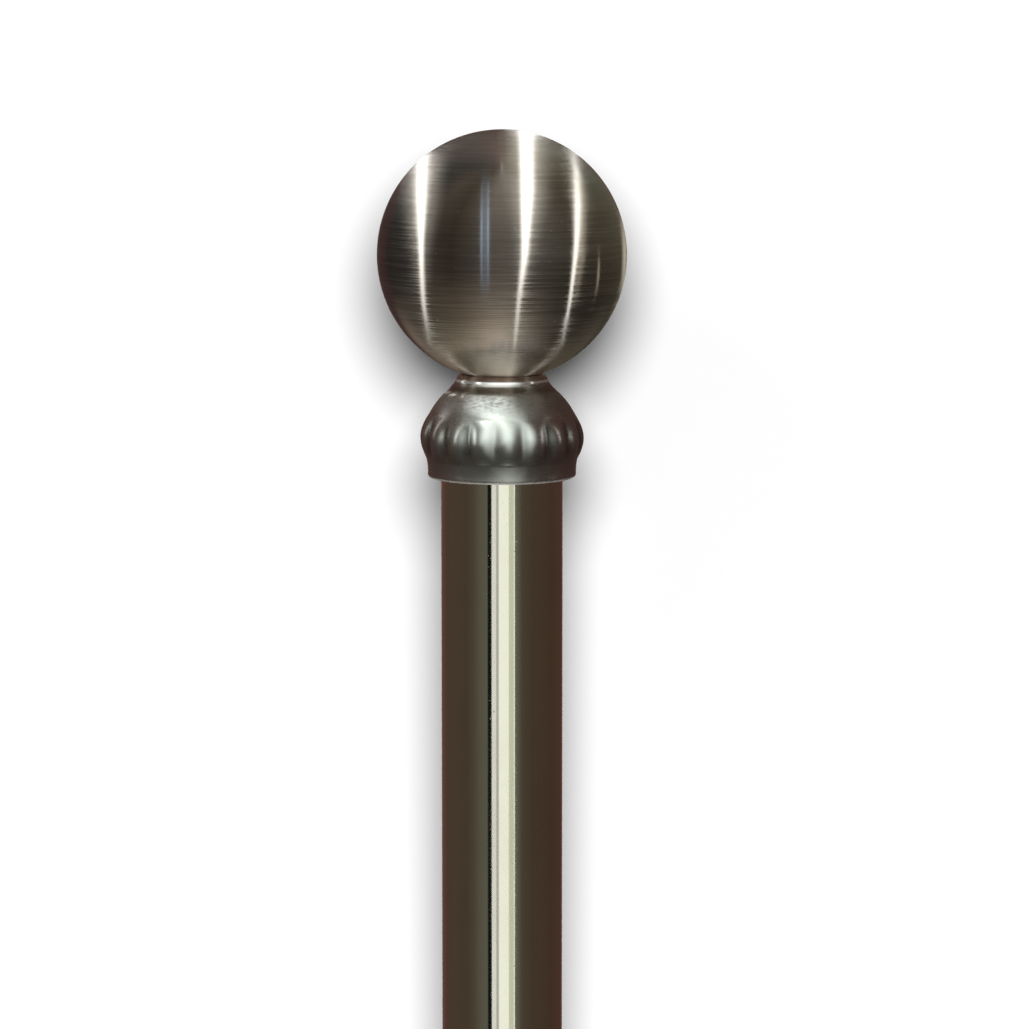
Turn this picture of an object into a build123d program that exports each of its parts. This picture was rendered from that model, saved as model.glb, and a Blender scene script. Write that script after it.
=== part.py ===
from build123d import *
import os
from math import cos, pi, radians, sin, sqrt

# A stainless steel flagpole. From the top down: a brushed hollow ball made of two pressed halves,
# a pressed sheet collar with a ring of gadroons (upright lobes) round its belly, a polished tube,
# and a base plate with four gussets and four anchor holes. The ball screws down on a stud that
# stands in a plug in the tube's top, and so holds the collar.
#
# Millimetres, +Z up. The origin is the centre of the base plate's underside, at ground level.

# Running and assembly clearances
contact_gap = 0.05
thread_gap = 0.05
collar_gap = 0.15

# Tube
tube_diameter = 50.0
tube_wall = 2.0
tube_length = 2872.0

# Ball
ball_diameter = 102.0
ball_wall = 1.2
boss_diameter = 24.0
boss_height = 16.0

# Stud, its lock nut and its washer
stud_diameter = 12.0
stud_reach_in_boss = 11.0
stud_hole_margin = 0.5
nut_across_flats = 18.0
nut_height = 6.0
washer_diameter = 24.0
washer_thickness = 2.5

# Plug in the top of the tube
plug_flange_thickness = 4.0
plug_flange_inset = 0.8
plug_spigot_length = 18.0
plug_chamfer = 1.0

# Collar, a sheet of one thickness. Heights are above its rim, reaches are out from the tube.
sheet = 1.5
collar_height = 42.4
rim_reach = 5.4
rim_rounding = 1.2
skirt_height = 7.7
skirt_flare = 0.2
belly_reach = 7.6
belly_height = 15.6
belly_curve = 19.5
gadroon_count = 18
gadroon_rise = 1.05
gadroon_top_height = 26.0
gadroon_sections = 5
gadroon_turn = 15.0
shoulder_sagitta = 0.45
ridge_radius = 23.3
ridge_height = 34.6
ledge_dip = 0.1
neck_corner_radius = 21.4
neck_corner_height = 36.45
neck_flare = 0.12
neck_waist_radius = 18.95
neck_waist_height = 39.55
neck_step_radius = 18.7
neck_step_height = 40.35
neck_sagitta = 0.15
neck_top_radius = 17.0
seat_radius = 15.6

# Base plate, gussets and the weld round the tube's foot
plate_side = 200.0
plate_thickness = 10.0
plate_corner_radius = 14.0
plate_edge_chamfer = 1.0
anchor_spacing = 150.0
anchor_hole_diameter = 14.0
gusset_count = 4
gusset_length = 60.0
gusset_height = 90.0
gusset_thickness = 6.0
gusset_nose = 12.0
gusset_cope = 8.0
weld_leg = 5.0
weld_crown = 0.5

# Sizes that follow from the ones above
tube_radius = tube_diameter / 2
ball_radius = ball_diameter / 2
stud_radius = stud_diameter / 2
stud_hole_radius = stud_radius + stud_hole_margin
rim_radius = tube_radius + rim_reach
belly_radius = tube_radius + belly_reach
seat_sphere_radius = ball_radius + contact_gap
crown_sphere_radius = seat_sphere_radius + sheet

# Levels above the ground, from the base plate up to the ball
plate_top = plate_thickness
tube_top = plate_top + tube_length
plug_top = tube_top + plug_flange_thickness
nut_top = plug_top + nut_height
washer_top = nut_top + washer_thickness
ball_centre = washer_top + sqrt(crown_sphere_radius**2 - stud_hole_radius**2)
collar_top = ball_centre - sqrt(seat_sphere_radius**2 - seat_radius**2)
rim_level = collar_top - collar_height
boss_bottom = ball_centre - (ball_radius - ball_wall) + contact_gap


def bulged(start, end, sagitta):
    """An arc from start to end that stands off its chord by sagitta, to the right of start-to-end."""
    a, b = Vector(*start), Vector(*end)
    along = (b - a).normalized()
    middle = (a + b) / 2 + Vector(along.Y, -along.X) * sagitta
    return ThreePointArc(a, middle, b)


def turned(edges):
    """The solid that a closed outline in the XZ plane sweeps round the Z axis."""
    outline = Plane.XZ * make_face(Wire(edges))
    return revolve(outline, Axis.Z)


def ring(outer, inner, bottom, top):
    """A plain tube or disc between two levels, with a round hole."""
    height = top - bottom
    body = Cylinder(outer, height, align=(Align.CENTER, Align.CENTER, Align.MIN))
    hole = Cylinder(inner, height, align=(Align.CENTER, Align.CENTER, Align.MIN))
    return Pos(0, 0, bottom) * (body - hole)


def ball_half(sign):
    """One pressed half of the hollow ball; the lower one has the hole for the stud."""
    shell = Sphere(ball_radius) - Sphere(ball_radius - ball_wall)
    side = Align.MIN if sign > 0 else Align.MAX
    keep = Box(2 * ball_diameter, 2 * ball_diameter, ball_diameter, align=(Align.CENTER, Align.CENTER, side))
    half = shell & keep
    if sign < 0:
        half -= Pos(0, 0, -ball_radius) * Cylinder(stud_hole_radius, ball_radius)
    return Pos(0, 0, ball_centre) * half


def ball_boss():
    """The threaded boss welded inside the ball, over its hole, that the stud screws into."""
    body = ring(boss_diameter / 2, stud_radius, boss_bottom, boss_bottom + boss_height)
    return body & Pos(0, 0, ball_centre) * Sphere(ball_radius - ball_wall - contact_gap)


def finial_stud():
    """The stud from the foot of the plug up into the boss, as a plain rod of its thread's diameter."""
    bottom = tube_top - plug_spigot_length
    top = boss_bottom + stud_reach_in_boss
    rod = Cylinder(stud_radius - thread_gap, top - bottom, align=(Align.CENTER, Align.CENTER, Align.MIN))
    return Pos(0, 0, bottom) * chamfer(rod.edges().filter_by(GeomType.CIRCLE), stud_radius / 6)


def lock_nut():
    """The thin hexagon nut that locks the stud in the plug."""
    flats = RegularPolygon(nut_across_flats / 2, 6, major_radius=False)
    body = extrude(flats, nut_height) - extrude(Circle(stud_radius), nut_height)
    return Pos(0, 0, plug_top) * body


def tube_plug():
    """The turned plug in the tube's top: a flange on the tube's end and a spigot inside it."""
    spigot_radius = tube_radius - tube_wall - contact_gap
    flange_radius = tube_radius - plug_flange_inset
    spigot = ring(spigot_radius, stud_radius, tube_top - plug_spigot_length, tube_top)
    flange = ring(flange_radius, stud_radius, tube_top, plug_top)
    body = spigot + flange
    outer_rims = [
        edge
        for edge in body.edges().filter_by(GeomType.CIRCLE)
        if edge.radius > stud_radius and edge.center().Z in (min_z(body), max_z(body))
    ]
    return chamfer(outer_rims, plug_chamfer)


def min_z(shape):
    """The lowest level of a shape."""
    return shape.bounding_box().min.Z


def max_z(shape):
    """The highest level of a shape."""
    return shape.bounding_box().max.Z


def valley_radius(height):
    """The belly's radius between two gadroons, at a height above the rim."""
    return belly_radius - (height - belly_height) ** 2 / (2 * belly_curve)


def gadroon_ring(inset):
    """The belly as a solid: a loft through rings of arcs, one arc to a gadroon.

    The arcs stand out most half-way up and die away into circles at both ends.
    """
    rings = []
    pitch = 2 * pi / gadroon_count
    for step in range(gadroon_sections):
        share = step / (gadroon_sections - 1)
        height = skirt_height + share * (gadroon_top_height - skirt_height)
        valley = valley_radius(height) - inset
        crest = valley + gadroon_rise * sin(pi * share)
        arcs = []
        for lobe in range(gadroon_count):
            angles = [radians(gadroon_turn) + (lobe + part) * pitch for part in (-0.5, 0.0, 0.5)]
            radii = [valley, crest, valley]
            points = [(r * cos(a), r * sin(a), height) for r, a in zip(radii, angles)]
            arcs.append(ThreePointArc(*points))
        rings.append(Wire(arcs))
    return Solid.make_loft(rings)


def collar_skirt(inset, bottom):
    """The plain skirt below the gadroons, from a level above the rim up to the belly."""
    top_radius = valley_radius(skirt_height) - inset
    low_radius = rim_radius - inset
    rounding = max(rim_rounding - inset, 0.0)
    corner = (low_radius, bottom + rounding)
    edges = [Line((0, skirt_height), (0, bottom))]
    if rounding:
        foot = (low_radius - rounding, bottom)
        edges += [Line((0, bottom), foot), ThreePointArc(foot, on_corner(foot, corner), corner)]
    else:
        edges += [Line((0, bottom), corner)]
    edges += [
        bulged(corner, (top_radius, skirt_height), -skirt_flare),
        Line((top_radius, skirt_height), (0, skirt_height)),
    ]
    return turned(edges)


def on_corner(foot, side):
    """The middle point of a quarter-round from foot to side."""
    radius = side[0] - foot[0]
    return foot[0] + radius * sin(pi / 4), side[1] - radius * cos(pi / 4)


def collar_shoulder(inset):
    """The smooth shoulder up to its ridge, the ledge above it, and the flared neck."""
    low = (valley_radius(gadroon_top_height) - inset, gadroon_top_height)
    ridge = (ridge_radius - inset, ridge_height)
    corner = (neck_corner_radius - inset, neck_corner_height)
    waist = (neck_waist_radius - inset, neck_waist_height)
    step = (neck_step_radius - inset, neck_step_height)
    neck_top = (neck_top_radius - inset, collar_height)
    edges = [
        Line((0, gadroon_top_height), low),
        bulged(low, ridge, shoulder_sagitta),
        bulged(ridge, corner, -ledge_dip),
        bulged(corner, waist, -neck_flare),
        Line(waist, step),
        bulged(step, neck_top, neck_sagitta),
        Line(neck_top, (0, collar_height)),
        Line((0, collar_height), (0, gadroon_top_height)),
    ]
    return turned(edges)


def collar_form(inset, bottom):
    """The collar's whole form, filled, drawn in by inset: the outer skin or the hollow inside it."""
    return collar_skirt(inset, bottom) + gadroon_ring(inset) + collar_shoulder(inset)


def collar_cap():
    """The pressed collar: one sheet with a ball seat on top, gadroons and a lip turned in to the tube."""
    ball_above_rim = ball_centre - rim_level
    hollow = collar_form(sheet, sheet) - Pos(0, 0, ball_above_rim) * Sphere(crown_sphere_radius)
    cap = collar_form(0.0, 0.0) - hollow
    cap -= Pos(0, 0, ball_above_rim) * Sphere(seat_sphere_radius)
    cap -= ring_hole(tube_radius + collar_gap, sheet)
    cap -= ring_hole(stud_hole_radius, collar_height)
    return Pos(0, 0, rim_level) * cap


def ring_hole(radius, top):
    """A round cutter on the axis, from below the rim up to a height above it."""
    return Pos(0, 0, -sheet) * Cylinder(radius, top + sheet, align=(Align.CENTER, Align.CENTER, Align.MIN))


def base_plate():
    """The square plate with rounded corners and its anchor holes."""
    plate = extrude(RectangleRounded(plate_side, plate_side, plate_corner_radius), plate_thickness)
    plate = chamfer(plate.faces().sort_by(Axis.Z)[-1].edges(), plate_edge_chamfer)
    hole = Cylinder(anchor_hole_diameter / 2, plate_thickness, align=(Align.CENTER, Align.CENTER, Align.MIN))
    return plate - [place * hole for place in GridLocations(anchor_spacing, anchor_spacing, 2, 2)]


def base_gusset(number):
    """One upright stiffener, coped at its inner corner to clear the weld round the tube."""
    inner = tube_radius + contact_gap
    outer = inner + gusset_length
    top = plate_top + gusset_height
    side = Polyline(
        (inner + gusset_cope, plate_top),
        (outer, plate_top),
        (outer, plate_top + gusset_nose),
        (inner + gusset_nose, top),
        (inner, top),
        (inner, plate_top + gusset_cope),
        close=True,
    )
    plate = extrude(Plane.XZ * make_face(side), gusset_thickness / 2, both=True)
    return Rot(0, 0, number * 360 / gusset_count) * plate


def foot_weld():
    """The fillet weld where the tube stands on the plate."""
    inner = tube_radius + contact_gap
    foot = (inner + weld_leg, plate_top)
    shoulder = (inner, plate_top + weld_leg)
    return turned([Line((inner, plate_top), foot), bulged(foot, shoulder, weld_crown), Line(shoulder, (inner, plate_top))])


parts = {
    "ball_upper_half": ball_half(+1),
    "ball_lower_half": ball_half(-1),
    "ball_boss": ball_boss(),
    "finial_stud": finial_stud(),
    "stud_washer": ring(washer_diameter / 2, stud_hole_radius, nut_top, washer_top),
    "stud_lock_nut": lock_nut(),
    "collar_cap": collar_cap(),
    "tube_plug": tube_plug(),
    "pole_tube": ring(tube_radius, tube_radius - tube_wall, plate_top, tube_top),
    "foot_weld": foot_weld(),
    "base_plate": base_plate(),
}
for number in range(gusset_count):
    parts[f"base_gusset_{number + 1}"] = base_gusset(number)

os.makedirs("parts", exist_ok=True)
for name, shape in parts.items():
    export_step(shape, f"parts/{name}.step")
print("rim", round(rim_level, 2), "collar top", round(collar_top, 2), "ball centre", round(ball_centre, 2))
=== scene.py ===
"""Looks of a stainless steel flagpole: satin ball, gadrooned collar, polished tube and welded foot.

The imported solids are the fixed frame. Curved pieces that need smooth reflections are made again
here as numpy surfaces on the same sizes, and every piece is given its own worked finish.
Metres, +Z up, origin under the middle of the base plate. The photograph looks along +Y.
"""

import logging
import math
from dataclasses import dataclass, field
from enum import Enum
from functools import cache

import bpy
import numpy as np
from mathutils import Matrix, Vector


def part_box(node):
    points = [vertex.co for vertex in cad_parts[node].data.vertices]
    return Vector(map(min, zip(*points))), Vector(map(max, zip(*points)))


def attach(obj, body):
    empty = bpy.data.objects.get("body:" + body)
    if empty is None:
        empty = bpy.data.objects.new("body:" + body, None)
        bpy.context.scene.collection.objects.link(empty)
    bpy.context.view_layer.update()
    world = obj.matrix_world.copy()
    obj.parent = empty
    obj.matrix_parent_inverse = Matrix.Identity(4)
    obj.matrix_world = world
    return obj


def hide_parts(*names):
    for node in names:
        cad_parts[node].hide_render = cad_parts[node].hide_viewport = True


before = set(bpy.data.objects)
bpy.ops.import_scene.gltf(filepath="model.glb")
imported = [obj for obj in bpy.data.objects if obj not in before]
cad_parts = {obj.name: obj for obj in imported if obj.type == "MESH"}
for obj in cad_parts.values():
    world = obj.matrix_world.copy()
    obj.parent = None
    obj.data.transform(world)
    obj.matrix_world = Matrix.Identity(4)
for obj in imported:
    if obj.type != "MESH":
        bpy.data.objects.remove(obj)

MM = 0.001
log = logging.getLogger("flagpole")
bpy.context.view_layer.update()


class Slot(Enum):
    """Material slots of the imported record."""

    BALL = "satin_ball"
    COLLAR = "pressed_collar"
    TUBE = "polished_tube"
    BASE = "base_steel"
    WELD = "weld_metal"
    PLAIN = "plain_steel"


class Lit(Enum):
    """Which pieces a studio card lights, as each was lit for the photograph."""

    BALL = "ball"
    COLLAR = "collar"
    POLE = "pole"
    FOOT = "foot"


class Seam(Enum):
    """How the rows of a grid end: joined into a loop, or closed on a point at both ends."""

    LOOP = "loop"
    POLES = "poles"
    OPEN = "open"


# Surfaces


def skin(name: str, points: np.ndarray, rows: Seam, sharp_deg: float = 40.0) -> bpy.types.Object:
    """Makes a mesh object from a grid of points that is closed round its second parameter.

    Quad (i, j) joins point (i, j) to its neighbours along both parameters; the second one always
    runs round. Rows loop, stay open, or shrink on to the mean of the first and the last row.

    Args:
        name: the piece's name.
        points: array of rows by round by 3, in metres.
        rows: how the rows end.
        sharp_deg: edges that turn by more than this stay crisp.

    Returns:
        The object, at the origin, with its place in its mesh.
    """
    n_rows, n_round, _ = points.shape
    index = np.arange(n_rows * n_round).reshape(n_rows, n_round)
    beyond = np.roll(index, -1, axis=1)
    low, high = (index, np.roll(index, -1, axis=0)) if rows is Seam.LOOP else (index[:-1], index[1:])
    low_next, high_next = (
        (beyond, np.roll(beyond, -1, axis=0)) if rows is Seam.LOOP else (beyond[:-1], beyond[1:])
    )
    quads = np.stack([low, low_next, high_next, high], axis=-1).reshape(-1, 4)
    verts = points.reshape(-1, 3)
    faces = quads.tolist()
    if rows is Seam.POLES:
        first, last = len(verts), len(verts) + 1
        verts = np.vstack([verts, points[0].mean(axis=0), points[-1].mean(axis=0)])
        fan_low = np.stack([beyond[0], index[0], np.full(n_round, first)], axis=-1)
        fan_high = np.stack([index[-1], beyond[-1], np.full(n_round, last)], axis=-1)
        faces += fan_low.tolist() + fan_high.tolist()
    return mesh_object(name, verts, faces, sharp_deg)


def mesh_object(name: str, verts: np.ndarray, faces: list, sharp_deg: float = 40.0) -> bpy.types.Object:
    """Makes a smooth-shaded mesh object from points and faces.

    Args:
        name: the piece's name.
        verts: array of n by 3, in metres.
        faces: lists of point numbers, anticlockwise from outside.
        sharp_deg: edges that turn by more than this stay crisp.

    Returns:
        The object, linked to the scene.
    """
    mesh = bpy.data.meshes.new(name)
    mesh.from_pydata(verts.tolist(), [], faces)
    mesh.update()
    mesh.polygons.foreach_set("use_smooth", np.ones(len(mesh.polygons), dtype=bool))
    mesh.set_sharp_from_angle(angle=math.radians(sharp_deg))
    piece = bpy.data.objects.new(name, mesh)
    bpy.context.scene.collection.objects.link(piece)
    return piece


def arc(start: tuple, end: tuple, sagitta: float, count: int) -> np.ndarray:
    """Points on a circular arc in the plane, without its last point.

    The chord runs from start to end and the arc's middle stands off it by the sagitta, to the
    right of the way it runs. With half chord c and sagitta s the radius is (c*c + s*s) / (2*s),
    and the points are taken at even angles about the centre. A sagitta of nought is a line.

    Args:
        start: first point, radius and height.
        end: point after the last one.
        sagitta: height of the arc over its chord; negative bends it the other way.
        count: number of points.

    Returns:
        Array of count by 2.
    """
    a, b = np.array(start, float), np.array(end, float)
    share = np.linspace(0.0, 1.0, count, endpoint=False)
    if abs(sagitta) < 1e-9:
        return a + share[:, None] * (b - a)
    chord = b - a
    half = np.hypot(*chord) / 2
    along = chord / (2 * half)
    out = np.array([along[1], -along[0]])
    radius = (half**2 + sagitta**2) / (2 * sagitta)
    centre = (a + b) / 2 + out * (sagitta - radius)
    sweep = math.asin(max(-1.0, min(1.0, half / radius)))
    turn = (2 * share - 1) * sweep
    return centre + radius * (np.cos(turn)[:, None] * out + np.sin(turn)[:, None] * along)


def turned(profile: np.ndarray, count: int) -> np.ndarray:
    """Carries a profile of radius and height round the Z axis.

    Point (i, j) is (r_i cos a_j, r_i sin a_j, z_i) with a_j = 2 pi j / count.

    Args:
        profile: array of n by 2.
        count: number of points round.

    Returns:
        Array of n by count by 3.
    """
    angle = 2 * np.pi * np.arange(count) / count
    radius, height = profile[:, 0, None], profile[:, 1, None]
    return np.stack(
        [radius * np.cos(angle), radius * np.sin(angle), np.broadcast_to(height, (len(profile), count))], axis=-1
    )


# Node trees


@dataclass
class Tree:
    """A node tree and short ways to add to it."""

    tree: bpy.types.NodeTree

    def add(self, kind: str, **settings: object) -> bpy.types.Node:
        """Adds a node; settings with the name of a property set it."""
        node = self.tree.nodes.new(kind)
        for key, value in settings.items():
            setattr(node, key, value)
        return node

    def feed(self, socket: bpy.types.NodeSocket, value: object) -> None:
        """Links an output into the socket, or sets the socket to a plain value."""
        if isinstance(value, bpy.types.NodeSocket):
            self.tree.links.new(value, socket)
        else:
            socket.default_value = value

    def math(self, operation: str, *values: object, clamp: bool = False) -> bpy.types.NodeSocket:
        """A Math node on one to three values or outputs."""
        node = self.add("ShaderNodeMath", operation=operation, use_clamp=clamp)
        for socket, value in zip(node.inputs, values):
            self.feed(socket, value)
        return node.outputs[0]

    def times(self, *values: object, clamp: bool = False) -> bpy.types.NodeSocket:
        """The product of two or more values or outputs, taken in order.

        Args:
            values: what is multiplied.
            clamp: whether each product is held between nought and one.

        Returns:
            The last product.
        """
        product = values[0]
        for value in values[1:]:
            product = self.math("MULTIPLY", product, value, clamp=clamp)
        return product

    def plus(self, first: object, second: object) -> bpy.types.NodeSocket:
        """The sum of two."""
        return self.math("ADD", first, second)

    def larger(self, first: object, second: object) -> bpy.types.NodeSocket:
        """The larger of two."""
        return self.math("MAXIMUM", first, second)

    def apart(self, first: object, second: object) -> bpy.types.NodeSocket:
        """How far two lie from each other."""
        return self.math("ABSOLUTE", self.math("SUBTRACT", first, second))

    def rise(self, value: object, low: float, high: float) -> bpy.types.NodeSocket:
        """A mask that goes from nought at low to one at high."""
        return self.spread(value, low, high, 0.0, 1.0)

    def fall(self, value: object, low: float, high: float) -> bpy.types.NodeSocket:
        """A mask that goes from one at low to nought at high."""
        return self.spread(value, low, high, 1.0, 0.0)

    def stretched(self, vector: object, scale: tuple) -> bpy.types.NodeSocket:
        """A vector times a scale along each axis."""
        mapping = self.add("ShaderNodeMapping")
        self.feed(mapping.inputs["Vector"], vector)
        mapping.inputs["Scale"].default_value = scale
        return mapping.outputs[0]

    def noise(self, vector: object, scale: float, detail: float = 2.0, rough: float = 0.5) -> bpy.types.NodeSocket:
        """A Noise texture's plain value."""
        node = self.add("ShaderNodeTexNoise", noise_dimensions="3D")
        self.feed(node.inputs["Vector"], vector)
        self.feed(node.inputs["Scale"], scale)
        self.feed(node.inputs["Detail"], detail)
        self.feed(node.inputs["Roughness"], rough)
        return node.outputs[0]

    def spread(self, value: object, low: float, high: float, to_low: float, to_high: float) -> bpy.types.NodeSocket:
        """Maps low..high to to_low..to_high, held at both ends."""
        node = self.add("ShaderNodeMapRange", clamp=True)
        for socket, given in zip(node.inputs, (value, low, high, to_low, to_high)):
            self.feed(socket, given)
        return node.outputs[0]

    def tint(self, share: object, first: tuple, second: tuple) -> bpy.types.NodeSocket:
        """Mixes two colours, or outputs, by a share."""
        node = self.add("ShaderNodeMix", data_type="RGBA", blend_type="MIX", clamp_factor=True)
        self.feed(node.inputs[0], share)
        self.feed(node.inputs[6], first)
        self.feed(node.inputs[7], second)
        return node.outputs[2]

    def combine(self, x: object, y: object, z: object) -> bpy.types.NodeSocket:
        """A vector from three values."""
        node = self.add("ShaderNodeCombineXYZ")
        for socket, value in zip(node.inputs, (x, y, z)):
            self.feed(socket, value)
        return node.outputs[0]

    def split(self, vector: object) -> tuple:
        """The three parts of a vector."""
        node = self.add("ShaderNodeSeparateXYZ")
        self.feed(node.inputs[0], vector)
        return tuple(node.outputs)

    def place(self, offset: tuple = (0.0, 0.0, 0.0)) -> bpy.types.NodeSocket:
        """Object coordinates, moved by an offset."""
        coords = self.add("ShaderNodeTexCoord").outputs["Object"]
        mapping = self.add("ShaderNodeMapping")
        self.feed(mapping.inputs["Vector"], coords)
        mapping.inputs["Location"].default_value = offset
        return mapping.outputs[0]

    def use(self, group: bpy.types.NodeTree, **values: object) -> bpy.types.Node:
        """Places a shared group with its own values; an underscore stands for a space."""
        node = self.add("ShaderNodeGroup")
        node.node_tree = group
        for key, value in values.items():
            self.feed(node.inputs[key.replace("_", " ")], value)
        return node


class SharedEffects:
    """Shader node groups that more than one finish uses, each made once."""

    @classmethod
    def group(cls, name: str, inputs: tuple, outputs: tuple) -> tuple:
        """Starts a node group.

        Args:
            name: its name.
            inputs: triples of name, socket type and value.
            outputs: pairs of name and socket type.

        Returns:
            The group, its Tree, its input node and its output node.
        """
        group = bpy.data.node_groups.new(name, "ShaderNodeTree")
        for label, kind, value in inputs:
            socket = group.interface.new_socket(name=label, in_out="INPUT", socket_type=kind)
            if value is not None:
                socket.default_value = value
        for label, kind in outputs:
            group.interface.new_socket(name=label, in_out="OUTPUT", socket_type=kind)
        tree = Tree(group)
        return group, tree, tree.add("NodeGroupInput"), tree.add("NodeGroupOutput")

    @classmethod
    @cache
    def ring_grain(cls) -> bpy.types.NodeTree:
        """Fine lines that run round the Z axis, as a belt or a lathe leaves them.

        Noise is read at (distance along the profile x Lines, cos and sin of the turn x Stretch), so
        that it changes fast across the lines and slowly along them, with no seam. The profile's
        distance is the height, or on a ball of the given Radius the latitude's arc.
        """
        group, tree, given, out = cls.group(
            "ring grain",
            (
                ("Vector", "NodeSocketVector", None),
                ("Radius", "NodeSocketFloat", 0.05),
                ("Ball", "NodeSocketFloat", 0.0),
                ("Lines", "NodeSocketFloat", 900.0),
                ("Stretch", "NodeSocketFloat", 2.0),
                ("Detail", "NodeSocketFloat", 3.0),
            ),
            (("Fine", "NodeSocketFloat"), ("Broad", "NodeSocketFloat")),
        )
        x, y, z = tree.split(given.outputs["Vector"])
        reach = tree.math("SQRT", tree.plus(tree.times(x, x), tree.times(y, y)))
        latitude = tree.times(tree.math("ARCTAN2", z, reach), given.outputs["Radius"])
        level = tree.plus(z, tree.times(given.outputs["Ball"], tree.math("SUBTRACT", latitude, z)))
        safe = tree.larger(reach, 0.0001)
        cosine, sine = tree.math("DIVIDE", x, safe), tree.math("DIVIDE", y, safe)
        stretch = given.outputs["Stretch"]
        for label, share, detail in (("Fine", 1.0, given.outputs["Detail"]), ("Broad", 0.16, 2.0)):
            across = tree.times(level, tree.times(given.outputs["Lines"], share))
            vector = tree.combine(
                tree.times(cosine, stretch), tree.times(sine, stretch), across
            )
            tree.feed(out.inputs[label], tree.noise(vector, 1.0, detail, 0.6))
        return group

    @classmethod
    @cache
    def handling(cls) -> bpy.types.NodeTree:
        """Marks of handling and weather on bare metal.

        Smudges are a large soft noise cut high, and Specks are a fine noise cut so high that only
        scattered points are left.
        """
        group, tree, given, out = cls.group(
            "handling",
            (
                ("Vector", "NodeSocketVector", None),
                ("Smudge Size", "NodeSocketFloat", 40.0),
                ("Speck Size", "NodeSocketFloat", 700.0),
            ),
            (("Smudges", "NodeSocketFloat"), ("Specks", "NodeSocketFloat")),
        )
        cloud = tree.noise(given.outputs["Vector"], given.outputs["Smudge Size"], 3.0, 0.6)
        tree.feed(out.inputs["Smudges"], tree.rise(cloud, 0.48, 0.72))
        dots = tree.noise(given.outputs["Vector"], given.outputs["Speck Size"], 1.0, 0.5)
        tree.feed(out.inputs["Specks"], tree.rise(dots, 0.735, 0.78))
        return group

    @classmethod
    @cache
    def rubbed_band(cls) -> bpy.types.NodeTree:
        """A mask round the piece at one level, broken up along its length, where an edge is rubbed.

        The mask is one at Level and falls to nought at Width from it, times a noise round the turn.
        """
        group, tree, given, out = cls.group(
            "rubbed band",
            (
                ("Vector", "NodeSocketVector", None),
                ("Level", "NodeSocketFloat", 0.0),
                ("Width", "NodeSocketFloat", 0.001),
                ("Patches", "NodeSocketFloat", 140.0),
            ),
            (("Rub", "NodeSocketFloat"),),
        )
        _, _, z = tree.split(given.outputs["Vector"])
        away = tree.apart(z, given.outputs["Level"])
        near = tree.math("SUBTRACT", 1.0, tree.math("DIVIDE", away, given.outputs["Width"]), clamp=True)
        patches = tree.noise(given.outputs["Vector"], given.outputs["Patches"], 3.0, 0.65)
        tree.feed(out.inputs["Rub"], tree.times(near, tree.rise(patches, 0.45, 0.6)))
        return group


# Finishes


def bare_material(name: str) -> tuple:
    """Starts a material with nothing in its tree.

    Args:
        name: the material's name.

    Returns:
        The material and its Tree.
    """
    material = bpy.data.materials.new(name)
    material.use_nodes = True
    material.node_tree.nodes.clear()
    return material, Tree(material.node_tree)


def metal(name: str) -> tuple:
    """Starts a metal's material.

    Args:
        name: the material's name.

    Returns:
        The material, its Tree and its Principled shader.
    """
    material, tree = bare_material(name)
    shader = tree.add("ShaderNodeBsdfPrincipled")
    out = tree.add("ShaderNodeOutputMaterial")
    tree.feed(out.inputs["Surface"], shader.outputs[0])
    shader.inputs["Metallic"].default_value = 1.0
    return material, tree, shader


def raise_surface(tree: Tree, shader: bpy.types.Node, height: object, strength: float, depth: float) -> None:
    """Feeds a height through a Bump node into the shader's normal.

    Args:
        tree: the material's tree.
        shader: its Principled shader.
        height: output from nought to one.
        strength: share of the bump.
        depth: height of one, in metres.
    """
    bump = tree.add("ShaderNodeBump")
    bump.inputs["Strength"].default_value = strength
    bump.inputs["Distance"].default_value = depth
    tree.feed(bump.inputs["Height"], height)
    tree.feed(shader.inputs["Normal"], bump.outputs[0])


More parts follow.
